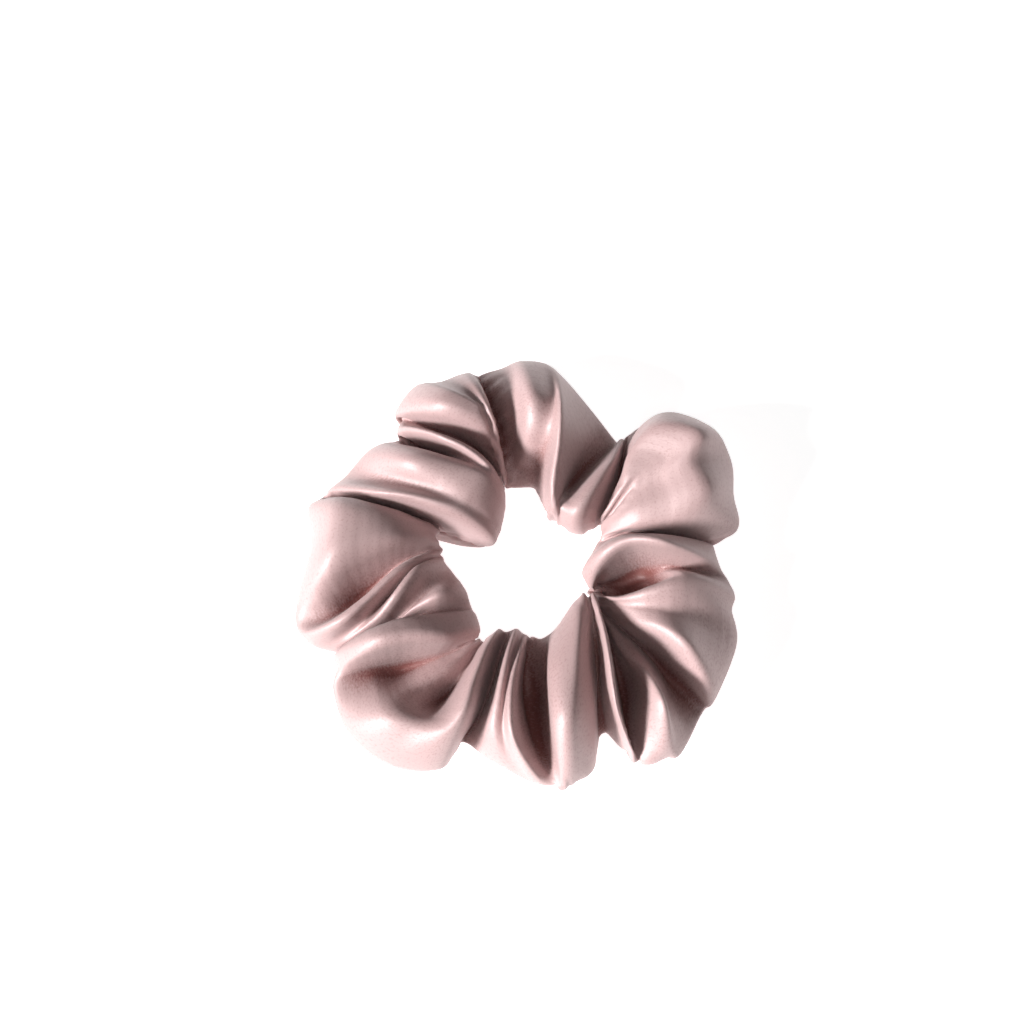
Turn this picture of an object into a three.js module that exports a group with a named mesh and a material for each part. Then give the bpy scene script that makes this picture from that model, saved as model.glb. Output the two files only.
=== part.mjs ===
// A satin hair scrunchie: a wide tube of satin gathered on a narrow loop of flat elastic.
// Millimetres, +Z up. The scrunchie lies flat on Z = 0 with the hair hole's axis along Z.
import * as THREE from "three";
import { ParametricGeometry } from "three/addons/geometries/ParametricGeometry.js";

// ---- Driving dimensions ----

// Each gather is one lobe of satin between two creases. angle is where it sits round the ring,
// outer and inner are how far it reaches from the ring's centre, and top is its height.
const GATHERS = [
  { angle: 27, outer: 57, inner: 16.5, top: 29 },
  { angle: 88, outer: 55, inner: 19, top: 30 },
  { angle: 120, outer: 55, inner: 14.5, top: 28 },
  { angle: 160, outer: 54, inner: 15, top: 30 },
  { angle: 192, outer: 57, inner: 15.5, top: 28 },
  { angle: 228, outer: 58, inner: 16, top: 30 },
  { angle: 277, outer: 57, inner: 16, top: 29 },
  { angle: 313, outer: 58, inner: 16.5, top: 28 },
  { angle: 345, outer: 56, inner: 17, top: 30 },
];
const CREASE_OUTER_RADIUS = 48; // the tube's outer edge where two gathers meet
const CREASE_INNER_RADIUS = 22; // the hair hole's edge where two gathers meet
const CREASE_HEIGHT = 20; // the tube's height where two gathers meet
const BAND_HEIGHT = 14; // the elastic's mid height above the table
const CLOTH_WALL = 1.2; // the gathered cloth's bulk, as one wall
const TABLE_FLAT = 1.2; // how far each gather is pressed flat where it lies on the table
const COLLAR = 0.8; // plain width of cloth on each side of a crease
const PUFF_ROUNDNESS = 0.7; // 1 is a plain sine lobe, less is fuller

const ELASTIC_WIDTH = 6;
const ELASTIC_THICKNESS = 1.2;
const LAP_LENGTH = 12; // how far the elastic's two ends overlap
const LAP_ANGLE = 228; // where the overlap's middle lies

const THREAD_RADIUS = 0.25;
const SEAM_ANGLE = 215; // where the tube's long seam runs round the section, 180 is the hole side
const CLOSING_CREASE = 1; // the crease after this gather, counted from 0 at the first, is sewn shut
const CLOSING_STITCHES = 24;
const JOIN_STITCHES = 9;

const CLEARANCE = 0.3; // between any two pieces that touch

// Mesh fineness
const PUFF_STEPS = 8; // along each gather
const SECTION_STEPS = 20; // round the tube
const BAND_STEPS = 60; // round the elastic
const THREAD_SIDES = 6;
const SEAM_STEPS = 130; // along the long seam
const STEPS_PER_STITCH = 3;

const { lerp, degToRad } = THREE.MathUtils;
const TAU = 2 * Math.PI;

// ---- The gathered tube ----

// The angles, in radians, of the creases before and after a gather: half way to each neighbour.
function creasesOf(index) {
  const here = GATHERS[index].angle;
  const before = GATHERS.at(index - 1).angle;
  const after = GATHERS[(index + 1) % GATHERS.length].angle;
  const gapBefore = (here - before + 360) % 360;
  const gapAfter = (after - here + 360) % 360;
  return [degToRad(here - gapBefore / 2), degToRad(here + gapAfter / 2)];
}

// The tube's section at a gather's fullness, 0 at a crease and 1 at its middle, taken in by inset.
function sectionAt(gather, fullness, inset) {
  const creaseTop = BAND_HEIGHT + CREASE_HEIGHT / 2;
  const creaseBottom = BAND_HEIGHT - CREASE_HEIGHT / 2;
  const outer = lerp(CREASE_OUTER_RADIUS, gather.outer, fullness) - inset;
  const inner = lerp(CREASE_INNER_RADIUS, gather.inner, fullness) + inset;
  const top = lerp(creaseTop, gather.top, fullness) - inset;
  const bottom = lerp(creaseBottom, -TABLE_FLAT, fullness) + inset;
  return { outer, inner, top, bottom, floor: inset };
}

// A point on that section: turn runs round the tube, 0 at its outer edge and a quarter at its top.
function pointOnSection(section, turn, angle, shift, target) {
  const { outer, inner, top, bottom, floor } = section;
  const radius = (outer + inner) / 2 + ((outer - inner) / 2) * Math.cos(turn);
  const height = (top + bottom) / 2 + ((top - bottom) / 2) * Math.sin(turn);
  return target.set(
    radius * Math.cos(angle) - shift * Math.sin(angle),
    radius * Math.sin(angle) + shift * Math.cos(angle),
    Math.max(floor, height),
  );
}

// The stations along a gather, from crease to crease: a flat collar, the puff, a flat collar.
// shift moves a station sideways, so that a crease's two faces are flat and parallel.
function stationsOf(index) {
  const [start, end] = creasesOf(index);
  const edge = CLEARANCE / 2;
  const stations = [{ angle: start, shift: edge, fullness: 0 }];
  for (let step = 0; step <= PUFF_STEPS; step++) {
    const along = step / PUFF_STEPS;
    stations.push({
      angle: lerp(start, end, along),
      shift: lerp(edge + COLLAR, -edge - COLLAR, along),
      fullness: Math.sin(Math.PI * along) ** PUFF_ROUNDNESS,
    });
  }
  stations.push({ angle: end, shift: -edge, fullness: 0 });
  return stations;
}

// One gather is a length of cloth tube with a wall: its outside runs from crease to crease,
// its inside runs back, and the two ends join them, so its wall is one closed loop all round.
function gatherGeometry(index) {
  const gather = GATHERS[index];
  const stations = stationsOf(index);
  const loop = [
    ...stations.map((station) => ({ ...station, inset: 0 })),
    ...stations.toReversed().map((station) => ({ ...station, inset: CLOTH_WALL })),
  ];
  const sections = loop.map((at) => sectionAt(gather, at.fullness, at.inset));
  const wall = (along, round, target) => {
    const number = Math.round(along * loop.length) % loop.length;
    const { angle, shift } = loop[number];
    const turn = TAU * (round % 1);
    pointOnSection(sections[number], turn, angle, shift, target);
  };
  return new ParametricGeometry(wall, loop.length, SECTION_STEPS);
}

// ---- The elastic ----

// The band stands on edge inside the creases, so its seat follows the cloth's inside there.
// Both are made of flat facets, so each is measured to the middle of a facet.
function bandInnerRadius() {
  const { outer, inner, top, bottom } = sectionAt(GATHERS[0], 0, CLOTH_WALL);
  const share = ELASTIC_WIDTH / (top - bottom);
  const half = ((outer - inner) / 2) * Math.cos(Math.PI / SECTION_STEPS);
  const seat = (outer + inner) / 2 - half * Math.sqrt(1 - share ** 2);
  return (seat + CLEARANCE) / Math.cos(Math.PI / BAND_STEPS);
}

const BAND_RADIUS = bandInnerRadius();
const LAP_STEP = ELASTIC_THICKNESS + CLEARANCE; // the upper end lies this far outside the lower
const LAP_TURN = LAP_LENGTH / BAND_RADIUS;
const LAP_START = degToRad(LAP_ANGLE) - LAP_TURN / 2;

// The band's inner face: one turn on the seat, then a ramp out and over its own first end.
function bandFace(turn) {
  const ramp = THREE.MathUtils.smoothstep(turn, TAU - 2 * LAP_TURN, TAU - LAP_TURN / 4);
  return BAND_RADIUS + LAP_STEP * ramp;
}

function elasticGeometry() {
  const whole = TAU + LAP_TURN;
  const outline = [];
  const add = (turn, thickness) => {
    const radius = bandFace(turn) + thickness;
    const angle = LAP_START + turn;
    outline.push(new THREE.Vector2(radius * Math.cos(angle), radius * Math.sin(angle)));
  };
  for (let step = 0; step <= BAND_STEPS; step++) add((whole * step) / BAND_STEPS, 0);
  for (let step = BAND_STEPS; step >= 0; step--) {
    add((whole * step) / BAND_STEPS, ELASTIC_THICKNESS);
  }
  const options = { depth: ELASTIC_WIDTH, bevelEnabled: false };
  const band = new THREE.ExtrudeGeometry(new THREE.Shape(outline), options);
  return band.translate(0, 0, BAND_HEIGHT - ELASTIC_WIDTH / 2);
}

// ---- Threads ----

// A thread is a round section carried along a smooth open curve.
function threadGeometry(points, steps) {
  const section = new THREE.Shape();
  section.absarc(0, 0, THREAD_RADIUS, 0, TAU);
  return new THREE.ExtrudeGeometry(section, {
    steps,
    curveSegments: THREAD_SIDES / 2,
    extrudePath: new THREE.CatmullRomCurve3(points),
  });
}

// The long seam's stitches run right round the ring, just inside the cloth, from one end of the
// tube to the other. They start and stop short of the crease that closes the tube.
function longSeamGeometry() {
  const inset = CLOTH_WALL + 2 * CLEARANCE + 2 * THREAD_RADIUS;
  const turn = degToRad(SEAM_ANGLE);
  const points = [];
  for (let count = 1; count <= GATHERS.length; count++) {
    const index = (CLOSING_CREASE + count) % GATHERS.length;
    for (const { angle, shift, fullness } of stationsOf(index)) {
      const section = sectionAt(GATHERS[index], fullness, inset);
      points.push(pointOnSection(section, turn, angle, shift, new THREE.Vector3()));
    }
  }
  return threadGeometry(points, SEAM_STEPS);
}

// The closing seam is a whip stitch that crosses the crease to and fro, right round the tube.
function closingSeamGeometry() {
  const angle = creasesOf(CLOSING_CREASE)[1];
  const section = sectionAt(GATHERS[CLOSING_CREASE], 0, -CLEARANCE - THREAD_RADIUS);
  const reach = COLLAR / 2;
  const points = [];
  for (let half = 0; half < 2 * CLOSING_STITCHES; half++) {
    const turn = (TAU * half) / (2 * CLOSING_STITCHES);
    const side = half % 2 ? reach : -reach;
    points.push(pointOnSection(section, turn, angle, side, new THREE.Vector3()));
  }
  return threadGeometry(points, CLOSING_STITCHES * STEPS_PER_STITCH);
}

// Zigzag stitches across the lap hold the elastic's two ends together.
function joinStitchGeometry() {
  const radius = BAND_RADIUS + LAP_STEP + ELASTIC_THICKNESS + CLEARANCE + THREAD_RADIUS;
  const margin = 1; // from the stitches to the band's edges and ends
  const rise = ELASTIC_WIDTH / 2 - margin;
  const run = LAP_TURN - (2 * margin) / BAND_RADIUS;
  const points = [];
  for (let stitch = 0; stitch <= JOIN_STITCHES; stitch++) {
    const angle = LAP_START + (LAP_TURN - run) / 2 + (run * stitch) / JOIN_STITCHES;
    const height = BAND_HEIGHT + (stitch % 2 ? rise : -rise);
    const point = new THREE.Vector3(Math.cos(angle), Math.sin(angle), 0);
    points.push(point.multiplyScalar(radius).setZ(height));
  }
  return threadGeometry(points, JOIN_STITCHES * STEPS_PER_STITCH);
}

// ---- Materials and the scene graph ----

const satin = new THREE.MeshStandardMaterial({ color: 0xb89292, roughness: 0.38, metalness: 0 });
const elastic = new THREE.MeshStandardMaterial({ color: 0xe9e4de, roughness: 0.9, metalness: 0 });
const thread = new THREE.MeshStandardMaterial({ color: 0xa88484, roughness: 0.6, metalness: 0 });

function named(name, geometry, material) {
  const mesh = new THREE.Mesh(geometry, material);
  mesh.name = name;
  return mesh;
}

const scrunchie = new THREE.Group();
GATHERS.forEach((gather, index) => {
  scrunchie.add(named(`satin_gather_${index + 1}`, gatherGeometry(index), satin));
});
scrunchie.add(named("elastic_band", elasticGeometry(), elastic));
scrunchie.add(named("elastic_join_stitches", joinStitchGeometry(), thread));
scrunchie.add(named("long_seam_thread", longSeamGeometry(), thread));
scrunchie.add(named("closing_seam_thread", closingSeamGeometry(), thread));

// The origin is the middle of the footprint, on the table.
const footprint = new THREE.Box3().setFromObject(scrunchie, true);
const middle = footprint.getCenter(new THREE.Vector3());
scrunchie.position.set(-middle.x, -middle.y, 0);

export default scrunchie;
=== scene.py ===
# %% [markdown]
# # A satin scrunchie
#
# A scrunchie is one strip of satin sewn into a tube, threaded over a loop of flat elastic and sewn shut.
# The elastic draws the tube up, so the satin stands round it in deep, soft gathers.
#
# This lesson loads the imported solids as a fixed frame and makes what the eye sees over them: the satin, its
# two seams, and the elastic inside. Everything is in metres and stands on the table at Z = 0.

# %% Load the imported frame
import math

import bpy
import numpy as np
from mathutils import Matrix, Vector
from mathutils.bvhtree import BVHTree


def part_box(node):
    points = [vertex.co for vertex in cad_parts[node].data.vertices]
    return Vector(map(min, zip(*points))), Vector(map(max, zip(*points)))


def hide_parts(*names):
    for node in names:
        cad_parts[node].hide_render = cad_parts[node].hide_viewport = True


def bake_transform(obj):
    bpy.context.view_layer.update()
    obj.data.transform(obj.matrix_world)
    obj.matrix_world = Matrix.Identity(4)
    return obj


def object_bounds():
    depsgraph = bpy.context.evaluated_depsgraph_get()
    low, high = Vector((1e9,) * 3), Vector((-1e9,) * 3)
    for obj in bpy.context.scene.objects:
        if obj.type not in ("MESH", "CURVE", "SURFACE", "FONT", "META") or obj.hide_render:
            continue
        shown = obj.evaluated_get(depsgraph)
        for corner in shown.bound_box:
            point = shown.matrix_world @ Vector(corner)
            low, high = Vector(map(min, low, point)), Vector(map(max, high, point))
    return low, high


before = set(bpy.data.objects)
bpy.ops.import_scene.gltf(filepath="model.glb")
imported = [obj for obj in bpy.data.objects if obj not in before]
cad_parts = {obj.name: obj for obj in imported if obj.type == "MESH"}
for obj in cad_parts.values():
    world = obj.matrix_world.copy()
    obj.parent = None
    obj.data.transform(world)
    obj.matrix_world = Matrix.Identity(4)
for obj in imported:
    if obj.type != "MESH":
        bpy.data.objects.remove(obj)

MM = 0.001
cad_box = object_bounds()
cad_size = cad_box[1] - cad_box[0]
print("solids:", len(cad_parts), "box in mm:", [round(side / MM, 1) for side in cad_size])

# %% [markdown]
# ## The camera
#
# The camera stands almost above the scrunchie and leans back a little, as someone does who looks down at a
# table. A long lens keeps the near and far gathers the same size. It could be aimed with a constraint, but
# its place worked out from one angle and one distance is easier to follow, and it never moves by itself.

# %% Place the camera
CAMERA_TILT = math.radians(69)  # above the table
LENS = 100
SENSOR = 36
VIEW_WIDTH = 255 * MM  # how much of the table the picture spans
LOOK_RIGHT = -1.75 * MM
LOOK_UP = 13.4 * MM
MIDDLE = Vector((0.4, 1.1, 13.0)) * MM  # the middle of the elastic's loop

camera_up = Vector((0, math.sin(CAMERA_TILT), math.cos(CAMERA_TILT)))
towards_camera = Vector((0, -math.cos(CAMERA_TILT), math.sin(CAMERA_TILT)))
target = MIDDLE + Vector((LOOK_RIGHT, 0, 0)) + camera_up * LOOK_UP
camera_data = bpy.data.cameras.new("camera")
camera_data.lens = LENS
camera_data.sensor_width = SENSOR
camera = bpy.data.objects.new("camera", camera_data)
camera.location = target + towards_camera * VIEW_WIDTH * LENS / SENSOR
camera.rotation_euler = (math.pi / 2 - CAMERA_TILT, 0, 0)
bpy.context.collection.objects.link(camera)
bpy.context.scene.camera = camera
print("camera", round((camera.location - target).length, 3), "m away")

# %% [markdown]
# ## Light and table
#
# Satin is all about light: its ridges shine and its hollows go dark. A low key lamp on the left, a little in
# front, lights one side of every fold and leaves the other dark. A weak lamp over the camera and a pale sky
# keep the shadows open. Sun lamps were chosen because their light is even over the whole scrunchie; the
# angle says how soft a shadow's edge is. The table is a light table that glows a little from below, as in a
# studio, so that it stays pale where the scrunchie's shadow falls.

# %% Light the scene
KEY_AROUND = math.radians(210)  # from the right side, counter-clockwise
KEY_ABOVE = math.radians(30)
KEY_STRENGTH = 7.0
KEY_SOFTNESS = math.radians(16)
FILL_STRENGTH = 0.45
FILL_SOFTNESS = math.radians(20)
SKY_COLOUR = (1.0, 0.985, 0.975, 1)
SKY_STRENGTH = 0.1


def sun_lamp(name, direction, strength, softness):
    """A sun lamp that shines from the given direction."""
    lamp_data = bpy.data.lights.new(name, "SUN")
    lamp_data.energy = strength
    lamp_data.angle = softness
    lamp = bpy.data.objects.new(name, lamp_data)
    lamp.rotation_euler = direction.to_track_quat("Z", "Y").to_euler()
    bpy.context.collection.objects.link(lamp)


level = math.cos(KEY_ABOVE)
key_direction = Vector((math.cos(KEY_AROUND) * level, math.sin(KEY_AROUND) * level, math.sin(KEY_ABOVE)))
sun_lamp("key lamp", key_direction, KEY_STRENGTH, KEY_SOFTNESS)
sun_lamp("fill lamp", towards_camera, FILL_STRENGTH, FILL_SOFTNESS)

world = bpy.data.worlds.new("pale sky")
world.use_nodes = True
world.node_tree.nodes["Background"].inputs["Color"].default_value = SKY_COLOUR
world.node_tree.nodes["Background"].inputs["Strength"].default_value = SKY_STRENGTH
bpy.context.scene.world = world
bpy.context.scene.view_settings.view_transform = "Standard"
print("key lamp", KEY_STRENGTH, "fill lamp", FILL_STRENGTH, "sky", SKY_STRENGTH)

# %% Lay the table
TABLE_HALF = 3.0
TABLE_GLOW = 0.75
TABLE_PAINT = (0.93, 0.93, 0.93, 1)
TABLE_ROUGHNESS = 0.95

table_mesh = bpy.data.meshes.new("table")
corners = [(-TABLE_HALF, -TABLE_HALF, 0), (TABLE_HALF, -TABLE_HALF, 0)]
corners += [(TABLE_HALF, TABLE_HALF, 0), (-TABLE_HALF, TABLE_HALF, 0)]
table_mesh.from_pydata(corners, [], [(0, 1, 2, 3)])
table = bpy.data.objects.new("table", table_mesh)
bpy.context.collection.objects.link(table)
table_paint = bpy.data.materials.new("table paint")
table_paint.use_nodes = True
table_shader = table_paint.node_tree.nodes["Principled BSDF"]
table_shader.inputs["Base Color"].default_value = TABLE_PAINT
table_shader.inputs["Roughness"].default_value = TABLE_ROUGHNESS
table_shader.inputs["Emission Color"].default_value = (1, 1, 1, 1)
table_shader.inputs["Emission Strength"].default_value = TABLE_GLOW
table_mesh.materials.append(table_paint)
print("table", 2 * TABLE_HALF, "m wide")

# %% [markdown]
# ## A map of the folds
#
# What makes this scrunchie itself is where each fold runs. They could come out of a simulation of the whole
# gathering, but then no run would give these folds. So the folds are placed one by one, the way a draughtsman
# draws
# drapery: as a list of lines that run from the hair hole, over the top, to the outer edge. Some follow
# a ridge, some the bottom of a hollow, and some the crease between two gathers.
#
# A fold has a name, how far its underside stands off the table in millimetres, and five spots. A spot is an
# angle round the ring in degrees, a distance from its middle in millimetres and a height above the table.

# %% List the folds, clockwise from the closing seam
FOLDS = [
    ("closing crease", 2, (99, 23, 9), (98, 30, 11), (98, 38, 12), (100, 46, 13), (101, 54, 10)),
    ("top wall foot", 2, (95, 23, 8), (93, 28, 10), (92, 33, 13), (93, 42, 20), (95, 54, 12)),
    ("top wall", 1, (88, 23, 8), (87, 27, 11), (86, 32, 24), (86, 40, 28), (90, 55, 14)),
    ("top dip", 1, (80, 23, 8), (78, 28, 16), (77, 33, 25), (78, 40, 26), (84, 55, 14)),
    ("top ridge", 1, (60, 15, 14), (66, 19, 24), (69, 27, 28), (73, 37, 29), (78, 52, 14)),
    ("top slope", 1, (54, 15, 14), (56, 16, 22), (62, 25, 20), (65, 36, 18), (67, 47, 10)),
    ("top hollow", 3, (45, 15, 14), (52, 17, 20), (58, 25, 13), (57, 35, 11), (55, 43, 9)),
    ("top rolled rim", 2, (30, 17, 14), (36, 19, 22), (44, 26, 23), (48, 34, 20), (53, 44, 10)),
    ("upper right crease", 3, (31, 24, 10), (37, 28, 12), (43, 34, 11), (48, 39, 10), (53, 46, 8)),
    ("upper right wall", 3, (30, 24, 12), (37, 30, 18), (44, 38, 19), (49, 46, 18), (49, 55, 11)),
    ("upper right crest", 2, (29, 24, 14), (35, 31, 22), (43, 38, 24), (44, 48, 26), (44, 58, 13)),
    ("upper right ridge", 1, (28, 25, 14), (33, 33, 22), (34, 43, 25), (33, 54, 28), (34, 61, 14)),
    ("upper right dip", 1, (28, 24, 13), (30, 31, 21), (29, 39, 24), (28, 49, 27), (27, 60, 14)),
    ("upper right shoulder", 1, (26, 23, 14), (22, 29, 22), (19, 38, 25), (18, 49, 27), (19, 57, 13)),
    ("upper right skirt", 2, (20, 22, 14), (15, 29, 21), (12, 36, 22), (11, 44, 22), (11, 56, 12)),
    ("right crease", 4, (15, 20, 13), (16, 28, 16), (13, 36, 12), (10, 44, 10), (9, 50, 8)),
    ("curl, outer rim", 3, (349, 16, 14), (360, 19, 22), (366, 25, 26), (365, 34, 27), (366, 49, 11)),
    ("curl, inner rim", 3, (343, 19, 13), (355, 21, 23), (362, 27, 27), (360, 36, 29), (360, 50, 12)),
    ("curl, hollow", 2, (346, 18, 7), (354, 24, 7), (359, 30, 8), (358, 37, 15), (356, 52, 12)),
    ("curl, flank", 1, (342, 18, 8), (345, 26, 9), (350, 33, 13), (352, 41, 24), (352, 54, 12)),
    ("curl, lower rim", 1, (339, 19, 10), (336, 27, 21), (342, 34, 26), (347, 41, 26), (348, 54, 11)),
    ("right belly", 1, (337, 20, 10), (334, 30, 22), (338, 39, 24), (340, 48, 19), (341, 57, 10)),
    ("right lower edge", 2, (335, 21, 10), (327, 32, 20), (328, 41, 25), (327, 49, 25), (324, 59, 12)),
    ("lower right crease", 1, (333, 23, 9), (327, 31, 11), (326, 40, 9), (323, 49, 9), (321, 58, 8)),
    ("lower right slope", 1, (332, 23, 9), (322, 36, 15), (317, 46, 17), (312, 55, 17), (309, 62, 11)),
    ("right pocket, far rim", 1, (331, 23, 9), (317, 35, 17), (314, 45, 24), (311, 53, 26), (306, 61, 13)),
    ("right pocket, far wall", 1, (330, 23, 9), (318, 33, 12), (313, 41, 13), (306, 51, 17), (302, 60, 13)),
    ("right pocket, floor", 2, (329, 22, 9), (317, 31, 10), (309, 40, 8), (302, 51, 12), (300, 58, 13)),
    ("right pocket, near rim", 2, (335, 20, 15), (317, 28, 25), (307, 36, 29), (300, 46, 28), (299, 57, 13)),
    ("bottom right crease", 4, (334, 19, 13), (317, 25, 19), (307, 32, 15), (300, 39, 12), (296, 46, 7)),
    ("bottom right shoulder", 2, (334, 18, 14), (312, 24, 22), (300, 32, 24), (294, 43, 22), (289, 55, 11)),
    ("bottom ridge", 1, (322, 17, 14), (305, 24, 24), (294, 33, 28), (286, 47, 28), (284, 57, 13)),
    ("bottom left shoulder", 1, (299, 19, 13), (287, 27, 22), (283, 35, 26), (281, 46, 27), (281, 58, 13)),
    ("left pocket, far wall", 1, (286, 19, 10), (283, 26, 13), (280, 34, 12), (279, 47, 15), (280, 58, 13)),
    ("left pocket, floor", 2, (281, 18, 10), (275, 24, 10), (273, 33, 8), (276, 48, 12), (279, 57, 13)),
    ("left pocket, rim", 2, (276, 19, 14), (270, 27, 23), (267, 38, 27), (268, 48, 25), (275, 56, 12)),
    ("behind the rim", 3, (273, 18, 13), (267, 27, 20), (265, 37, 22), (266, 46, 19), (271, 54, 11)),
    ("bottom left ridge", 3, (268, 17, 14), (264, 26, 23), (262, 36, 24), (261, 45, 20), (262, 50, 11)),
    ("bottom left crease", 2, (261, 17, 11), (258, 24, 12), (257, 32, 11), (255, 40, 9), (252, 46, 7)),
    ("bowl, near rim", 2, (254, 18, 14), (252, 26, 23), (252, 35, 26), (253, 44, 26), (250, 55, 12)),
    ("bowl, deep end", 1, (243, 20, 7), (243, 30, 10), (241, 38, 9), (241, 50, 22), (238, 60, 13)),
    ("bowl, rise", 1, (241, 20, 8), (238, 30, 13), (233, 41, 16), (231, 52, 22), (227, 60, 13)),
    ("bowl, shallow end", 1, (240, 21, 9), (229, 30, 11), (221, 39, 9), (218, 47, 13), (216, 56, 13)),
    ("bowl, overhang", 2, (239, 19, 14), (232, 28, 24), (221, 36, 28), (216, 43, 28), (211, 52, 14)),
    ("lower left face", 3, (230, 17, 14), (221, 26, 23), (213, 33, 25), (209, 42, 23), (207, 51, 12)),
    ("lower left crease", 6, (222, 16, 12), (213, 24, 17), (208, 31, 13), (208, 38, 11), (208, 47, 8)),
    ("left face", 3, (204, 15, 14), (208, 22, 22), (207, 29, 19), (207, 36, 13), (207, 47, 9)),
    ("left first hollow", 3, (184, 17, 12), (197, 22, 18), (204, 29, 17), (206, 36, 14), (206, 48, 9)),
    ("left first ridge", 3, (177, 19, 14), (190, 25, 25), (201, 32, 26), (205, 38, 21), (205, 50, 9)),
    ("left second hollow", 3, (174, 19, 13), (189, 27, 20), (198, 35, 16), (203, 42, 17), (203, 53, 10)),
    ("left second ridge", 3, (172, 20, 14), (188, 29, 24), (199, 40, 25), (202, 48, 23), (200, 56, 12)),
    ("left crease", 3, (166, 20, 12), (179, 28, 16), (190, 39, 11), (196, 49, 14), (195, 57, 12)),
    ("left lobe, rim", 1, (165, 21, 14), (176, 29, 25), (183, 38, 27), (187, 47, 27), (188, 55, 13)),
    ("left lobe", 1, (160, 22, 14), (168, 29, 25), (172, 38, 29), (174, 46, 28), (175, 52, 13)),
    ("left lobe, top edge", 3, (156, 22, 14), (160, 30, 22), (162, 38, 25), (163, 47, 24), (164, 55, 12)),
    ("upper left crease", 4, (151, 22, 11), (154, 29, 13), (156, 37, 12), (157, 45, 10), (158, 54, 7)),
    ("tongue, lower ridge", 2, (140, 9, 14), (149, 17, 24), (154, 27, 28), (157, 37, 27), (156, 52, 11)),
    ("tongue, dip", 1, (120, 10, 14), (138, 18, 25), (146, 28, 25), (149, 38, 21), (151, 50, 12)),
    ("tongue, upper ridge", 2, (108, 13, 14), (122, 18, 25), (136, 27, 28), (142, 36, 28), (142, 49, 13)),
    ("tongue, shoulder", 3, (104, 15, 14), (113, 20, 25), (126, 27, 27), (134, 36, 26), (137, 48, 12)),
    ("slit, floor", 4, (102, 17, 13), (110, 22, 24), (118, 28, 22), (123, 38, 9), (130, 47, 8)),
    ("slit, rim", 4, (101, 19, 13), (107, 24, 23), (116, 29, 27), (125, 36, 27), (131, 47, 14)),
    ("flap, foot", 2, (100, 23, 9), (104, 28, 11), (110, 35, 11), (119, 42, 12), (126, 51, 9)),
    ("flap, lower edge", 2, (100, 25, 11), (102, 31, 18), (109, 35, 25), (120, 42, 27), (127, 52, 13)),
    ("flap, corner", 2, (100, 25, 11), (101, 32, 19), (104, 38, 26), (113, 45, 27), (119, 55, 13)),
    ("flap, dip", 3, (100, 25, 11), (101, 32, 19), (103, 38, 25), (109, 45, 24), (113, 54, 12)),
    ("flap, end", 3, (100, 24, 11), (100, 31, 18), (101, 37, 25), (103, 45, 25), (105, 54, 12)),
]
print(len(FOLDS), "folds")

# %% [markdown]
# ## From lines to cloth
#
# Each fold line is closed underneath, where the cloth lies on the table, so it becomes one section of the
# tube. The sections are then joined by smooth curves round the ring. A Catmull-Rom curve was chosen for
# both, because it passes through every spot that was given.

# %% Draw smooth closed curves
def smooth_loop(points, steps):
    """A closed curve through points, with steps[i] places from point i to the next."""
    points = np.asarray(points, float)
    pieces = []
    for i, count in enumerate(steps):
        before, here, after, beyond = (points[(i + k) % len(points)] for k in (-1, 0, 1, 2))
        spans = (here - before, after - here, beyond - after)
        g0, g1, g2 = (max(np.linalg.norm(span, axis=-1).mean(), 1e-6) ** 0.5 for span in spans)
        leave = g1 * ((here - before) / g0 - (after - before) / (g0 + g1) + (after - here) / g1)
        arrive = g1 * ((after - here) / g1 - (beyond - here) / (g1 + g2) + (beyond - after) / g2)
        t = np.linspace(0, 1, count, endpoint=False).reshape((count,) + (1,) * (points.ndim - 1))
        curve = (2 * t**3 - 3 * t**2 + 1) * here + (t**3 - 2 * t**2 + t) * leave
        pieces.append(curve + (3 * t**2 - 2 * t**3) * after + (t**3 - t**2) * arrive)
    return np.concatenate(pieces)


def evenly(curve, count):
    """The same curve in count equal steps, without its last place."""
    gaps = np.linalg.norm(np.diff(curve, axis=0), axis=-1).reshape(len(curve) - 1, -1).mean(1)
    along = np.concatenate([[0], np.cumsum(gaps)])
    wanted = np.linspace(0, along[-1], count, endpoint=False)
    flat = curve.reshape(len(curve), -1)
    even = [np.interp(wanted, along, flat[:, k]) for k in range(flat.shape[1])]
    return np.stack(even, 1).reshape((count,) + curve.shape[1:])


# %% Close each fold into a section of the tube
ROUND = 56  # places round the tube, half of them over the top
SPLINE_STEPS = 12
UNDERSIDE = [(0.12, 4.0), (0.35, 0.8), (0.65, 0.8), (0.88, 4.0)]  # share of the way back, rise over the lift
LEAST_WALL = 1  # mm that the underside stays below the outer edge


def section_of(lift, spots):
    """One closed section: over the top from the hair hole to the outer edge, then back underneath."""
    angle, reach, height = np.array(spots, float).T
    over = np.stack([reach * np.cos(np.radians(angle)), reach * np.sin(np.radians(angle)), height], 1)
    under = []
    for share, rise in UNDERSIDE:
        spot = over[-1] + (over[0] - over[-1]) * share
        under.append((spot[0], spot[1], min(lift + rise, spot[2] - LEAST_WALL)))
    ring = smooth_loop(np.vstack([over, under]), [SPLINE_STEPS] * (len(over) + len(under)))
    edge = SPLINE_STEPS * (len(over) - 1)
    top = evenly(ring[: edge + 1], ROUND // 2)
    bottom = evenly(np.vstack([ring[edge:], ring[:1]]), ROUND // 2)
    return np.vstack([top, bottom])


sections = np.array([section_of(lift, spots) for name, lift, *spots in FOLDS])
girths = np.linalg.norm(sections - np.roll(sections, 1, 1), axis=2).sum(1)
print("tube girth in mm, least and most:", girths.min().round(1), girths.max().round(1))

# %% Join the sections round the ring
ALONG = 240  # places along the tube
STEP = 1.5  # mm between places while the curve is drawn

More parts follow.
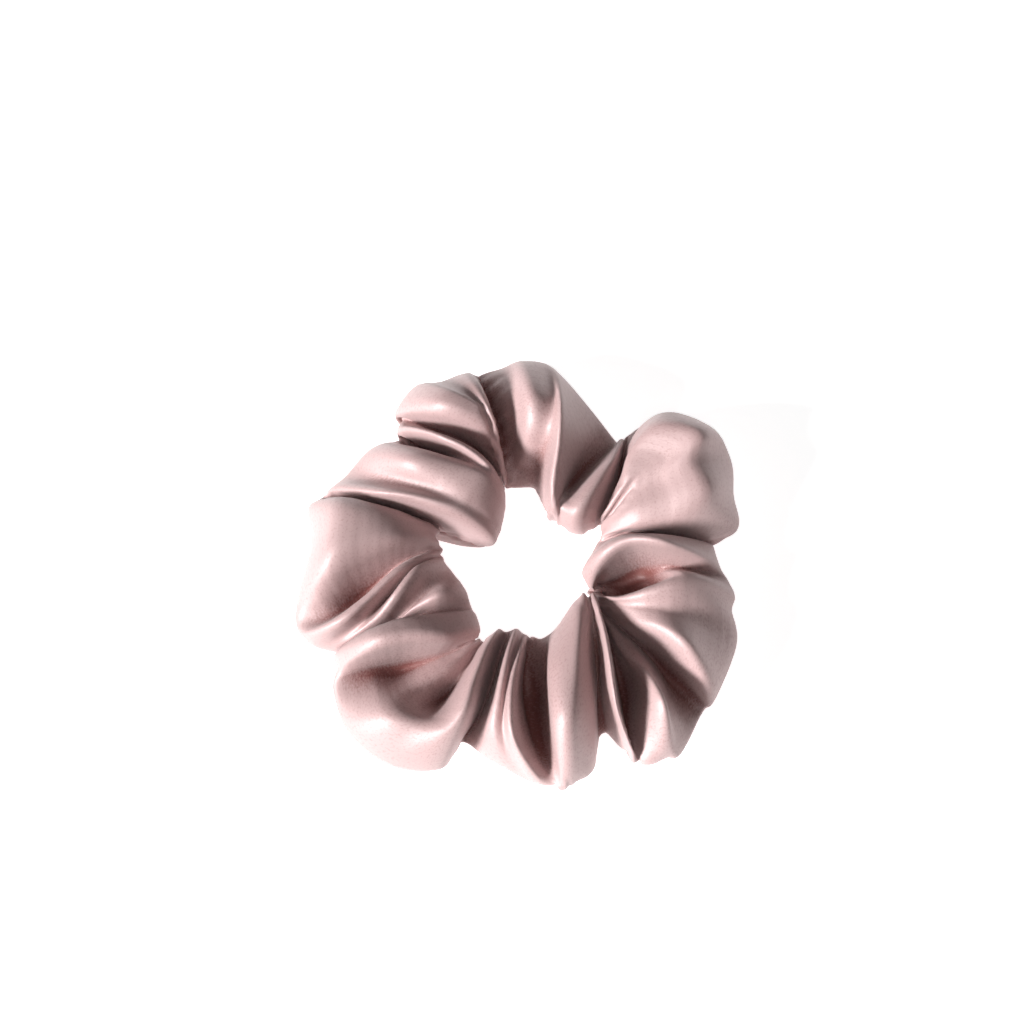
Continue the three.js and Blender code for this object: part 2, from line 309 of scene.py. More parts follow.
spacing = np.linalg.norm(sections - np.roll(sections, -1, 0), axis=2)[:, : ROUND // 2].mean(1)
steps = np.maximum(2, np.round(spacing / STEP)).astype(int)
tube = smooth_loop(sections, steps)
tube = evenly(np.vstack([tube, tube[:1]]), ALONG)
tube_length = np.linalg.norm(np.diff(tube, axis=0), axis=2).sum(0).mean()
print("cloth grid", tube.shape[:2], "length along it", tube_length.round(), "mm")

# %% [markdown]
# ## Let the cloth settle
#
# The curves don't know that they are cloth: where two folds meet they can cross, and a wall can fold over
# itself. Blender's own Cloth could settle this, but on folds this deep it crumples the broad, smooth faces.
# So a small cloth solver runs here instead. It keeps the threads from stretching, lets them give a little
# when pushed, holds the cloth near the folds as drawn, and pushes apart layers that come too close. It runs
# once on a coarse net, then on one with twice the places each way. Deep in the tightest creases a few layers
# still pass through each other.

# %% Measure and pull the threads
THREADS = [(1, 0), (0, 1), (1, 1), (1, -1), (2, 0), (0, 2)]  # along, round, the diagonals, and the two bends


def shifted(cloth, along, around):
    return np.roll(cloth, (-along, -around), (0, 1))


def thread_lengths(cloth):
    return {way: np.linalg.norm(shifted(cloth, *way) - cloth, axis=2) for way in THREADS}


def pull(cloth, way, rest, stretch, squeeze):
    """Moves both ends of every thread that runs one way towards its rest length, in two passes."""
    axis = 0 if way[0] else 1
    count = cloth.shape[axis]
    passes = (np.arange(count) // way[axis]) % 2
    for half in (0, 1):
        first = np.nonzero(passes == half)[0]
        here = np.take(cloth, first, axis)
        there = np.roll(cloth, -way[1], 1) if axis == 0 else cloth
        there = np.take(there, (first + way[axis]) % count, axis)
        gap = there - here
        length = np.linalg.norm(gap, axis=2) + 1e-9
        error = length - np.take(rest, first, axis)
        move = (np.where(error > 0, stretch, squeeze) * error / length / 2)[..., None] * gap
        if axis == 0:
            cloth[first] += move
            cloth[(first + way[0]) % count] -= np.roll(move, way[1], 1)
        else:
            cloth[:, first] += move
            cloth[:, (first + way[1]) % count] -= move


# %% Find layers that touch and push them apart
def near_pairs(cloth, reach, skip):
    """Pairs of places closer than reach that aren't neighbours in the cloth, found by sorting into cells."""
    places = cloth.reshape(-1, 3)
    cell = np.floor((places - places.min(0)) / reach).astype(np.int64) + 1
    wide, deep = cell.max(0)[1:] + 2
    key = (cell[:, 0] * wide + cell[:, 1]) * deep + cell[:, 2]
    order = np.argsort(key, kind="stable")
    ordered = key[order]
    pairs = []
    for x in (-1, 0, 1):
        for y in (-1, 0, 1):
            for z in (-1, 0, 1):
                offset = (x * wide + y) * deep + z
                if offset < 0:
                    continue
                low = np.searchsorted(ordered, key + offset, "left")
                high = np.searchsorted(ordered, key + offset, "right")
                for k in range(int((high - low).max())):
                    first = np.nonzero(low + k < high)[0]
                    second = order[low[first] + k]
                    pairs.append(np.stack([first, second])[:, (offset > 0) | (first < second)])
    first, second = np.concatenate(pairs, 1)
    close = ((places[first] - places[second]) ** 2).sum(1) < reach * reach
    along, around = cloth.shape[:2]
    apart_along = np.abs(first // around - second // around)
    apart_around = np.abs(first % around - second % around)
    apart_along = np.minimum(apart_along, along - apart_along)
    apart_around = np.minimum(apart_around, around - apart_around)
    keep = close & ((apart_along > skip) | (apart_around > skip))
    return first[keep], second[keep]


def push_apart(cloth, pairs, gap):
    first, second = pairs
    places = cloth.reshape(-1, 3)
    between = places[second] - places[first]
    distance = np.linalg.norm(between, axis=1) + 1e-9
    move = (np.maximum(gap - distance, 0) / distance / 4)[:, None] * between
    total = np.zeros_like(places)
    np.add.at(total, first, -move)
    np.add.at(total, second, move)
    touched = np.bincount(np.concatenate(pairs), minlength=len(places))
    places += total / np.maximum(touched, 1)[:, None] ** 0.5


# %% Helpers that find which way is out, smooth a field and refine the net
def outward(cloth):
    across = shifted(cloth, 1, 0) - shifted(cloth, -1, 0)
    down = shifted(cloth, 0, 1) - shifted(cloth, 0, -1)
    normal = np.cross(across, down)
    return normal / (np.linalg.norm(normal, axis=2, keepdims=True) + 1e-9)


def blurred(field, times):
    for _ in range(times):
        sides = shifted(field, 1, 0) + shifted(field, -1, 0) + shifted(field, 0, 1) + shifted(field, 0, -1)
        field = (sides + 4 * field) / 8
    return field


def doubled(cloth):
    """Twice the places each way, on the smooth curve through the ones there were."""
    for axis in (0, 1):
        before, here, after, beyond = (np.roll(cloth, -k, axis) for k in (-1, 0, 1, 2))
        between = (9 * (here + after) - before - beyond) / 16
        shape = list(cloth.shape)
        shape[axis] *= 2
        cloth = np.stack([cloth, between], axis + 1).reshape(shape)
    return cloth


# %% Settle the cloth, first coarsely and then finely
HOLD_BLUR = 6  # the pull back to the drawn folds is smoothed this often
SORT_EVERY = 4  # rounds between searches for layers that touch
DIAGONAL_STRETCH = 0.6  # satin gives a little on the bias
TABLE_GAP = 0.3  # mm from the cloth's middle to the table


def settle(cloth, rounds, hold, air, slack, gap, reach, skip, give, bend):
    """The cloth after some rounds; hold, air, give and bend are shares per round, gap and reach are in mm."""
    drawn = cloth.copy()
    rest = {way: length * slack for way, length in thread_lengths(cloth).items()}
    for step in range(rounds):
        cloth += hold * blurred(drawn - cloth, HOLD_BLUR)
        cloth += air * outward(cloth)
        if step % SORT_EVERY == 0:
            pairs = near_pairs(cloth, reach, skip)
        for way in THREADS[4:]:
            pull(cloth, way, rest[way], 0.0, bend)
        for way in THREADS[2:4]:
            pull(cloth, way, rest[way], DIAGONAL_STRETCH, give / 2)
        for way in THREADS[:2]:
            pull(cloth, way, rest[way], 1.0, give)
        push_apart(cloth, pairs, gap)
        cloth[..., 2] = np.maximum(cloth[..., 2], TABLE_GAP)
    return cloth


cloth = settle(tube, 60, hold=0.15, air=0.01, slack=1.05, gap=1.6, reach=2.6, skip=2, give=0.15, bend=0.05)
cloth = doubled(cloth)
cloth = settle(cloth, 30, hold=0.02, air=0.003, slack=1.0, gap=1.0, reach=1.6, skip=3, give=0.2, bend=0.2)
print("settled to", (cloth.reshape(-1, 3).max(0) - cloth.reshape(-1, 3).min(0)).round(1), "mm")

# %% [markdown]
# ## The seams
#
# A scrunchie has two seams. The long one joins the strip's edges and runs along the hole side, just under
# the hair hole's edge. The short one closes the tube's two ends and sits in a crease. A seam pulls the satin
# in to a fine line and puckers it on both sides, so both are pressed into the net itself before the mesh is
# made, and the thread is added later in the line.

# %% Press the seam lines into the cloth
SEAM_ROW = cloth.shape[1] - 6  # just under the hair hole's edge
SEAM_DEPTH = 0.45
SEAM_REACH = 0.9  # places on each side of a seam
PUCKER_DEPTH = 0.16
PUCKER_LENGTH = 3.6  # mm from pucker to pucker
PUCKER_REACH = 5  # places on each side of a seam
LONG_SWAY = 11  # mm over which the long seam's puckers grow and shrink
SHORT_SWAY = 7  # the same for the short seam


def run_length(line):
    """How far each place lies along a closed line, in mm."""
    return np.cumsum(np.linalg.norm(line - np.roll(line, 1, 0), axis=1))


rows = np.arange(cloth.shape[1])
columns = np.arange(cloth.shape[0])
from_long = np.abs((rows - SEAM_ROW + cloth.shape[1] // 2) % cloth.shape[1] - cloth.shape[1] // 2)
from_short = np.minimum(columns, cloth.shape[0] - columns)
near_long = np.exp(-((from_long / SEAM_REACH) ** 2))[None, :]
near_short = np.exp(-((from_short / SEAM_REACH) ** 2))[:, None]
fade_long = np.exp(-((from_long / PUCKER_REACH) ** 2))[None, :]
fade_short = np.exp(-((from_short / PUCKER_REACH) ** 2))[:, None]
along_mm = run_length(cloth[:, SEAM_ROW])[:, None]
around_mm = run_length(cloth[0])[None, :]
puckers = fade_long * np.sin(2 * np.pi * along_mm / PUCKER_LENGTH + np.sin(along_mm / LONG_SWAY))
short_wave = np.sin(2 * np.pi * around_mm / PUCKER_LENGTH + np.sin(around_mm / SHORT_SWAY))
puckers = puckers + fade_short * short_wave
pressed = SEAM_DEPTH * np.maximum(near_long, near_short) - PUCKER_DEPTH * puckers
cloth = cloth - pressed[..., None] * outward(cloth)
cloth[..., 2] = np.maximum(cloth[..., 2], TABLE_GAP)
print("long seam", along_mm[-1, 0].round(), "mm, closing seam", around_mm[0, -1].round(), "mm")

# %% [markdown]
# ## Make the satin casing
#
# The net becomes a mesh of squares, with the cloth's own directions kept as a UV map in metres, so that the
# weave later runs along and round the tube. Satin is about a quarter of a millimetre thick, and a Solidify
# modifier gives it that, so the casing is a real tube with an inside. Each place also remembers how deep in
# a hollow it lies, and the satin's colour uses that to paint shade into the hollows.

# %% Helpers that make a mesh object from a net of places
CENTRE = np.array([MIDDLE.x, MIDDLE.y, 0.0])


def net_faces(along, around, closed_along):
    i = np.arange(along if closed_along else along - 1)[:, None]
    j = np.arange(around)[None, :]
    after, beside = (i + 1) % along, (j + 1) % around
    faces = np.stack([i * around + j, after * around + j, after * around + beside, i * around + beside], -1)
    return faces.reshape(-1, 4)


def net_object(name, net, closed_along=True):
    """net holds places in millimetres from the ring's middle, as (along, around, 3)."""
    along, around = net.shape[:2]
    faces = net_faces(along, around, closed_along).tolist()
    if not closed_along:
        last = (along - 1) * around
        faces += [list(range(around)), [last + k for k in reversed(range(around))]]
    mesh = bpy.data.meshes.new(name)
    mesh.from_pydata((net.reshape(-1, 3) * MM + CENTRE).tolist(), [], faces)
    mesh.shade_smooth()
    obj = bpy.data.objects.new(name, mesh)
    bpy.context.collection.objects.link(obj)
    return obj


# %% Build the casing
CLOTH_THICKNESS = 0.25 * MM
HOLLOW_BLUR = 160  # times the cloth is smoothed to find its general lie
HOLLOW_RANGE = 14  # mm from a full hollow to a full ridge

casing = net_object("satin_casing", cloth)
along, around = cloth.shape[:2]
u = np.arange(along * around) // around
v = np.arange(along * around) % around
corner = np.empty(len(casing.data.loops), int)
casing.data.loops.foreach_get("vertex_index", corner)
first = corner[(np.arange(len(corner)) // 4) * 4]
run_along = u[corner] + along * ((u[corner] == 0) & (u[first] == along - 1))
run_around = v[corner] + around * ((v[corner] == 0) & (v[first] == around - 1))
mean_step = np.linalg.norm(shifted(cloth, 1, 0) - cloth, axis=2).mean() * MM
mean_rise = np.linalg.norm(shifted(cloth, 0, 1) - cloth, axis=2).mean() * MM
weave_map = casing.data.uv_layers.new(name="weave")
weave_map.uv.foreach_set("vector", np.stack([run_along * mean_step, run_around * mean_rise], 1).ravel())

# Painted shade mask: the deeper a place lies below the cloth's general lie, the darker the satin's colour is
# painted there.
hollow = ((blurred(cloth, HOLLOW_BLUR) - cloth) * outward(cloth)).sum(2)
hollow = np.clip(0.5 + hollow / HOLLOW_RANGE, 0, 1)
shade_mask_layer = casing.data.attributes.new("hollow", "FLOAT", "POINT")
shade_mask_layer.data.foreach_set("value", hollow.ravel().astype(np.float32))

wall = casing.modifiers.new("satin thickness", "SOLIDIFY")
wall.thickness = CLOTH_THICKNESS
wall.offset = -1
print("casing", len(casing.data.polygons), "squares of about", round(mean_step / MM, 2), "mm")

# %% [markdown]
# The casing stands for the nine plain gathers of the solid model, which stay for touching and packing.
# It crosses every body. The strip was cut to 100 mm by 440 mm: 100 mm is the
# tube's mean girth of about 89 mm with two seam allowances of 6 mm, and 440 mm is its mean length of about
# 428 mm with the same two allowances, both rounded.

# %% Hide the plain gathers that the casing stands for, and bake the casing's placement
GATHER_COUNT = 9


def follow_stretch(piece):
    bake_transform(piece)


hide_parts(*[f"satin_gather_{number}" for number in range(1, GATHER_COUNT + 1)])
follow_stretch(casing)

# %% [markdown]
# ## The elastic inside
#
# The elastic is a flat braid, 6 mm wide. Nobody sees it, but it is what the satin hangs on, so it has to lie
# inside the cloth. It feels its way round: at every angle the room inside the tube is measured on a grid of
# distances and heights, and the way round that best weighs room against smoothness is kept. Then the band
# rolls, on edge where the tube is tall and flatter where a crease is low, in the same manner. In three tight
# creases it still cuts a little into the inside of the satin.

# %% Measure the room inside the cloth
BAND_WIDTH = 6.0
BAND_THICKNESS = 1.2
BAND_MARGIN = 0.8  # mm kept free between the elastic and the cloth
LOOP_PLACES = 180
REACHES = np.arange(21.0, 36.0)  # mm from the ring's middle
HEIGHTS = np.arange(3.0, 23.0)  # mm above the table
PAST_HIT = Vector((0, 0, 0.001))  # a step over the wall that was just counted

band_low, band_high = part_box("elastic_band")
loop_height = (band_low.z + band_high.z) / 2 / MM
loop_radius = (band_high.x - band_low.x) / 2 / MM - BAND_THICKNESS
tree = BVHTree.FromPolygons(cloth.reshape(-1, 3).tolist(), net_faces(*cloth.shape[:2], True).tolist())
loop_angle = np.linspace(0, 2 * np.pi, LOOP_PLACES, endpoint=False)
radial = np.stack([np.cos(loop_angle), np.sin(loop_angle), 0 * loop_angle], 1)
upward = np.array([0.0, 0.0, 1.0])


def room_at(places):
    """How far each place lies inside the tube, below 0 outside it; inside, the walls above are odd."""
    room = []
    for place in places.reshape(-1, 3):
        above, walls = Vector(place), 0
        while above is not None:
            above = tree.ray_cast(above + PAST_HIT, upward)[0]
            walls += above is not None
        distance = tree.find_nearest(place)[3]
        room.append(distance if walls % 2 else -distance)
    return np.array(room).reshape(places.shape[:-1])


# %% Find the smoothest way round that has room
AWAY_COST = 0.01  # for each mm squared away from the plain loop
STEP_COST = 0.5
LOOP_ROUNDING = 3


def best_way(cost, change_cost):
    """The cheapest closed run through cost[angle, choice...], moving by one choice or none at each step."""
    places = len(cost)
    moves = np.stack(np.meshgrid(*[(-1, 0, 1)] * (cost.ndim - 1), indexing="ij"), -1)
    moves = moves.reshape(-1, cost.ndim - 1)
    total = cost[0]
    taken = []
    for k in range(1, 2 * places + 1):
        padded = np.pad(total, 1, constant_values=np.inf)
        options = []
        for move in moves:
            window = tuple(slice(1 - step, 1 - step + size) for step, size in zip(move, total.shape))
            options.append(padded[window] + change_cost * (move**2).sum())
        taken.append(np.argmin(options, 0))
        total = np.min(options, 0) + cost[k % places]
    spot = np.array(np.unravel_index(np.argmin(total), total.shape))
    way = []
    for choice in reversed(taken):
        way.append(spot)
        spot = spot - moves[choice[tuple(spot)]]
    way = np.array(way[::-1])[places // 2 : places // 2 + places]
    return np.roll(way, places // 2 + 1, 0)


def rounded_off(values, times):
    for _ in range(times):
        values = (np.roll(values, 1, 0) + np.roll(values, -1, 0) + 2 * values) / 4
    return values


grid = radial[:, None, None] * REACHES[None, :, None, None] + upward * HEIGHTS[None, None, :, None]
lacking = np.maximum(0, BAND_WIDTH / 2 + BAND_MARGIN - room_at(grid))
away = AWAY_COST * (REACHES[:, None] - loop_radius) ** 2 + AWAY_COST * (HEIGHTS[None, :] - loop_height) ** 2
way = best_way(lacking**2 + away, STEP_COST)
loop = radial * REACHES[way[:, 0], None] + upward * HEIGHTS[way[:, 1], None]
loop = rounded_off(loop, LOOP_ROUNDING)
print("the elastic runs", loop[:, 2].min().round(1), "to", loop[:, 2].max().round(1), "mm above the table")

# %% Roll the band to fit
ROLL_STEPS = np.arange(-9, 10)  # steps of 10 degrees from upright
ROLLS = np.radians(10 * ROLL_STEPS)
ROLL_COST = 0.002  # for each step squared away from upright
TURN_COST = 0.05
ROLL_ROUNDING = 4


def rolled(out, roll):
    """The band's outward and upward directions when it is rolled by an angle."""
    roll = np.asarray(roll)[..., None]
    return np.cos(roll) * out - np.sin(roll) * upward, np.cos(roll) * upward + np.sin(roll) * out


face_way, edge_way = rolled(radial[:, None], ROLLS[None, :])
room = []
for across in (-1, -0.5, 0.5, 1):
    for side in (-1, 1):
        edge_place = loop[:, None] + edge_way * across * BAND_WIDTH / 2
        edge_place = edge_place + face_way * side * BAND_THICKNESS / 2
        room.append(np.maximum(0, BAND_MARGIN - room_at(edge_place)) ** 2)
way = best_way(np.sum(room, 0) + ROLL_COST * ROLL_STEPS**2, TURN_COST)
loop_roll = rounded_off(ROLLS[way[:, 0]], ROLL_ROUNDING)
roll_degrees = np.degrees(loop_roll).round()
print("band rolls from", roll_degrees.min(), "to", roll_degrees.max(), "degrees")

# %% [markdown]
# The band itself is drawn along that loop. Its two ends lap over each other for 12 mm, the later one outside,
# and its surface is a braid: two sets of slanting yarns that rise in turn.

# %% Weave the elastic band
LAP_ANGLE = math.radians(228)
LAP_LENGTH = 12.0
LAP_GAP = 0.1  # mm between the two lapped ends
BAND_PLACES = 900
BAND_SIDES = 28
BRAID_LENGTH = 1.5  # mm from yarn to yarn along the band
BRAID_WIDTH = 1.5
BRAID_RISE = 0.1
FACE_POWER = 0.35  # below 1 makes the band's section squarer than an oval
EDGE_POWER = 0.6


def on_loop(angle):
    """The loop's place at any angle, and the band's outward and upward directions there."""
    turn = (angle / (2 * np.pi) * LOOP_PLACES) % LOOP_PLACES
    spots = np.arange(LOOP_PLACES + 1)
    closed = np.hstack([loop, loop_roll[:, None]])
    closed = np.vstack([closed, closed[:1]])
    x, y, z, roll = (np.interp(turn, spots, closed[:, k]) for k in range(4))
    out, up = rolled(np.stack([np.cos(angle), np.sin(angle), 0 * angle], -1), roll)
    return np.stack([x, y, z], -1), out, up


def eased(t):
    t = np.clip(t, 0, 1)
    return t * t * (3 - 2 * t)


half_lap = LAP_LENGTH / loop_radius / 2
band_angle = np.linspace(LAP_ANGLE - half_lap, LAP_ANGLE + 2 * np.pi + half_lap, BAND_PLACES)
lapping = eased((band_angle - (LAP_ANGLE + 2 * np.pi - 2.5 * half_lap)) / (1.5 * half_lap))
band_turn = np.linspace(0, 2 * np.pi, BAND_SIDES, endpoint=False)
square_cos = np.sign(np.cos(band_turn)) * np.abs(np.cos(band_turn)) ** FACE_POWER
square_sin = np.sign(np.sin(band_turn)) * np.abs(np.sin(band_turn)) ** EDGE_POWER
run = band_angle[:, None] * loop_radius
rise = (square_sin * BAND_WIDTH / 2)[None, :]
one_way = np.sin(2 * np.pi * (run / BRAID_LENGTH + rise / BRAID_WIDTH))
other_way = np.sin(2 * np.pi * (run / BRAID_LENGTH - rise / BRAID_WIDTH))
braid = BRAID_RISE * np.maximum(one_way, other_way)
half_thickness = (BAND_THICKNESS / 2 - BRAID_RISE + braid) * square_cos[None, :]
lap_shift = (lapping * (BAND_THICKNESS + LAP_GAP))[:, None]
band_middle, band_out, band_up = on_loop(band_angle)
band_net = band_middle[:, None] + band_out[:, None] * (half_thickness + lap_shift)[..., None]
band_net = band_net + band_up[:, None] * rise[..., None]
band = net_object("elastic_braid", band_net, closed_along=False)
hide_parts("elastic_band")
follow_stretch(band)

band_room = room_at(band_net[::6, ::7])
tightest = (np.degrees(band_angle[::6][band_room.min(1).argmin()]) % 360).round()
print("elastic", len(band.data.polygons), "faces")
print("least room to the cloth", band_room.min().round(2), "mm, at", tightest, "degrees")

# %% [markdown]
# ## Thread
#
# Three threads hold a scrunchie together: zigzag stitches through the elastic's lap, and a row of stitches in
# each of the two seams. A thread is a thin tube drawn along a path, which dips into the cloth between one
# stitch and the next, so that only short dashes show.

# %% Draw a thread along a path
THREAD_RADIUS = 0.2
THREAD_SIDES = 8


def thread_net(path, facing, closed):
    """A round tube along a path; facing says which way is up from the cloth at each place."""
    if closed:
        ahead = np.roll(path, -1, 0) - np.roll(path, 1, 0)
    else:
        ahead = np.gradient(path, axis=0)
    side = np.cross(ahead, facing)
    side /= np.linalg.norm(side, axis=1, keepdims=True)
    up = np.cross(side, ahead)
    up /= np.linalg.norm(up, axis=1, keepdims=True)
    turn = np.linspace(0, 2 * np.pi, THREAD_SIDES, endpoint=False)[None, :, None]
    ring = np.cos(turn) * side[:, None, :] + np.sin(turn) * up[:, None, :]
    return path[:, None, :] + THREAD_RADIUS * ring


# %% Sew the elastic's lap
JOIN_STITCHES = 9
ZIGZAG_HALF = 1.9  # mm above and below the band's middle
ZIGZAG_SHARE = 0.8  # of the lap
ZIGZAG_SHARPNESS = 0.96  # 1 would turn without a curve
PLACES_PER_ZIGZAG = 12
THROUGH_PLACES = 7  # where the thread goes through the band

zigzag_turn = np.linspace(0, 1, JOIN_STITCHES * PLACES_PER_ZIGZAG + 1)
zigzag_angle = LAP_ANGLE + half_lap * ZIGZAG_SHARE * (2 * zigzag_turn - 1)
zigzag = 2 / np.pi * np.arcsin(ZIGZAG_SHARPNESS * np.sin(np.pi * JOIN_STITCHES * zigzag_turn))
zigzag_middle, zigzag_out, zigzag_up = on_loop(zigzag_angle)
outer_face = BAND_THICKNESS * 1.5 + LAP_GAP + THREAD_RADIUS / 2
inner_face = -BAND_THICKNESS / 2 - THREAD_RADIUS / 2
sideways = zigzag_up * (zigzag * ZIGZAG_HALF)[:, None]
path_out = zigzag_middle + zigzag_out * outer_face + sideways
path_in = zigzag_middle + zigzag_out * inner_face - sideways
through = np.linspace(path_out[-1], path_in[-1], THROUGH_PLACES + 2)[1:-1]
zigzag_path = np.vstack([path_out, through, path_in[::-1]])
zigzag_facing = np.vstack([zigzag_out, np.repeat(zigzag_up[-1:], THROUGH_PLACES, 0), -zigzag_out[::-1]])
zigzag_net = thread_net(zigzag_path, zigzag_facing, False)
join_thread = net_object("elastic_join_zigzag", zigzag_net, closed_along=False)
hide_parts("elastic_join_stitches")
follow_stretch(join_thread)
print("join stitches", JOIN_STITCHES)

# %% Sew the two seams of the casing
LONG_STITCH = 3.0
CLOSING_STITCH = 2.6
PLACES_PER_STITCH = 8
STITCH_RISE = 0.12
STITCH_SINK = 0.3
STITCH_TOP = 0.3  # share of the wave that shows as the stitch's flat top


def seam_thread(name, line, facing, stitch):
    length = np.linalg.norm(np.roll(line, -1, 0) - line, axis=1).sum()
    count = round(length / stitch)
    places = evenly(np.vstack([line, line[:1]]), count * PLACES_PER_STITCH)
    ways = evenly(np.vstack([line + facing, (line + facing)[:1]]), count * PLACES_PER_STITCH) - places
    ways /= np.linalg.norm(ways, axis=1, keepdims=True)
    beat = np.cos(2 * np.pi * np.arange(len(places)) / PLACES_PER_STITCH)
    path = places + ways * (STITCH_RISE + STITCH_SINK * np.minimum(beat, STITCH_TOP))[:, None]
    thread = net_object(name, thread_net(path, ways, True))
    follow_stretch(thread)
    print(name, "length", round(length), "mm in", count, "stitches")
    return thread


facing = outward(cloth)
long_thread = seam_thread("long_seam_stitches", cloth[:, SEAM_ROW], facing[:, SEAM_ROW], LONG_STITCH)
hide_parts("long_seam_thread")
closing_thread = seam_thread("closing_seam_stitches", cloth[0], facing[0], CLOSING_STITCH)
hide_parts("closing_seam_thread")

# %% [markdown]
# ## Shared effects
#
# Satin, elastic and thread are all made of yarn, so they share two effects, each a node group with its own
# named inputs. The first is the yarn itself: fine ribs one way, with a slow, uneven drift, as a height for
# the bump and a speckle for colour and shine. The second is dye and painted shade: a colour that is a little
# deeper at random in places, and painted darker in the hollows, where shade falls.

# %% Helpers for node groups
def new_group(name, inputs, outputs):
    group = bpy.data.node_groups.new(name, "ShaderNodeTree")
    for kind, direction in ((inputs, "INPUT"), (outputs, "OUTPUT")):
        for label, socket_type, *value in kind:
            socket = group.interface.new_socket(label, in_out=direction, socket_type=socket_type)
            if value:
                socket.default_value = value[0]
    return group, group.nodes.new("NodeGroupInput"), group.nodes.new("NodeGroupOutput")


def maths(tree_of, operation, first, second=None, clamp=False):
    node = tree_of.nodes.new("ShaderNodeMath")
    node.operation = operation
    node.use_clamp = clamp
    for socket, value in zip(node.inputs, (first, second)):
        if isinstance(value, bpy.types.NodeSocket):
            tree_of.links.new(value, socket)
        elif value is not None:
            socket.default_value = value
    return node.outputs[0]


# %% The yarn group
WAVE_SCALE = 0.05  # what the wave texture's scale is for one rib per metre
RIB_HEIGHT = 0.35

yarn, yarn_in, yarn_out = new_group(
    "yarn",
    [
        ("Coordinates", "NodeSocketVector"),
        ("Ribs per Metre", "NodeSocketFloat", 2500.0),
        ("Speckle per Metre", "NodeSocketFloat", 2500.0),
        ("Unevenness", "NodeSocketFloat", 0.5),
    ],
    [("Height", "NodeSocketFloat"), ("Speckle", "NodeSocketFloat")],
)
ribs = yarn.nodes.new("ShaderNodeTexWave")
ribs.wave_type = "BANDS"
ribs.bands_direction = "Y"
ribs.inputs["Distortion"].default_value = 2.0
ribs.inputs["Detail"].default_value = 1.0
wave_scale = maths(yarn, "MULTIPLY", yarn_in.outputs["Ribs per Metre"], WAVE_SCALE)
yarn.links.new(wave_scale, ribs.inputs["Scale"])
yarn.links.new(yarn_in.outputs["Coordinates"], ribs.inputs["Vector"])
speckle = yarn.nodes.new("ShaderNodeTexNoise")
speckle.inputs["Detail"].default_value = 2.0
speckle.inputs["Roughness"].default_value = 0.6
yarn.links.new(yarn_in.outputs["Coordinates"], speckle.inputs["Vector"])
yarn.links.new(yarn_in.outputs["Speckle per Metre"], speckle.inputs["Scale"])
uneven = maths(yarn, "MULTIPLY", speckle.outputs["Fac"], yarn_in.outputs["Unevenness"])
height = maths(yarn, "ADD", maths(yarn, "MULTIPLY", ribs.outputs["Fac"], RIB_HEIGHT), uneven)
yarn.links.new(height, yarn_out.inputs["Height"])
yarn.links.new(speckle.outputs["Fac"], yarn_out.inputs["Speckle"])
print("yarn group:", [item.name for item in yarn.interface.items_tree])

# %% The dye and painted shade group
DRIFT_AMOUNT = 0.3

dye_and_shade, dye_in, dye_out = new_group(
    "dye_and_shade",
    [
        ("Colour", "NodeSocketColor", (0.4, 0.2, 0.2, 1)),
        ("Deep Colour", "NodeSocketColor", (0.3, 0.1, 0.1, 1)),
        ("Hollow", "NodeSocketFloat", 0.0),
        ("Speckle", "NodeSocketFloat", 0.5),
        ("Speckle Amount", "NodeSocketFloat", 0.1),
        ("Drift per Metre", "NodeSocketFloat", 60.0),
    ],
    [("Colour", "NodeSocketColor")],
)
drift_place = dye_and_shade.nodes.new("ShaderNodeTexCoord")
drift = dye_and_shade.nodes.new("ShaderNodeTexNoise")
drift.inputs["Detail"].default_value = 1.0
dye_and_shade.links.new(drift_place.outputs["Object"], drift.inputs["Vector"])
dye_and_shade.links.new(dye_in.outputs["Drift per Metre"], drift.inputs["Scale"])
drifted = maths(dye_and_shade, "MULTIPLY", maths(dye_and_shade, "SUBTRACT", drift.outputs["Fac"], 0.5), DRIFT_AMOUNT)
speckled = maths(dye_and_shade, "SUBTRACT", dye_in.outputs["Speckle"], 0.5)
speckled = maths(dye_and_shade, "MULTIPLY", speckled, dye_in.outputs["Speckle Amount"])
# Painted shade: Hollow Shade darkens the colour towards the deep colour in the hollows; drift and speckle are
# the dye's own unevenness.
deep = maths(dye_and_shade, "ADD", maths(dye_and_shade, "ADD", dye_in.outputs["Hollow"], drifted), speckled, clamp=True)
blend_colour = dye_and_shade.nodes.new("ShaderNodeMix")
blend_colour.data_type = "RGBA"
dye_and_shade.links.new(deep, blend_colour.inputs["Factor"])
dye_and_shade.links.new(dye_in.outputs["Colour"], blend_colour.inputs["A"])
dye_and_shade.links.new(dye_in.outputs["Deep Colour"], blend_colour.inputs["B"])
dye_and_shade.links.new(blend_colour.outputs["Result"], dye_out.inputs["Colour"])
print("dye group:", [item.name for item in dye_and_shade.interface.items_tree])

# %% [markdown]
# ## Materials
#
# Satin floats its yarns on the surface, side by side, so it shines like brushed metal: broad soft highlights
# along each ridge. That is a rough, partly metallic surface whose shine stretches across the yarns. A plain
# rough plastic would look like rubber, and velvet's sheen would glow at the edges, where satin goes dark.


# %% Helper that makes a yarn material
SHINE_SPREAD = 0.2  # how much the speckle varies the roughness


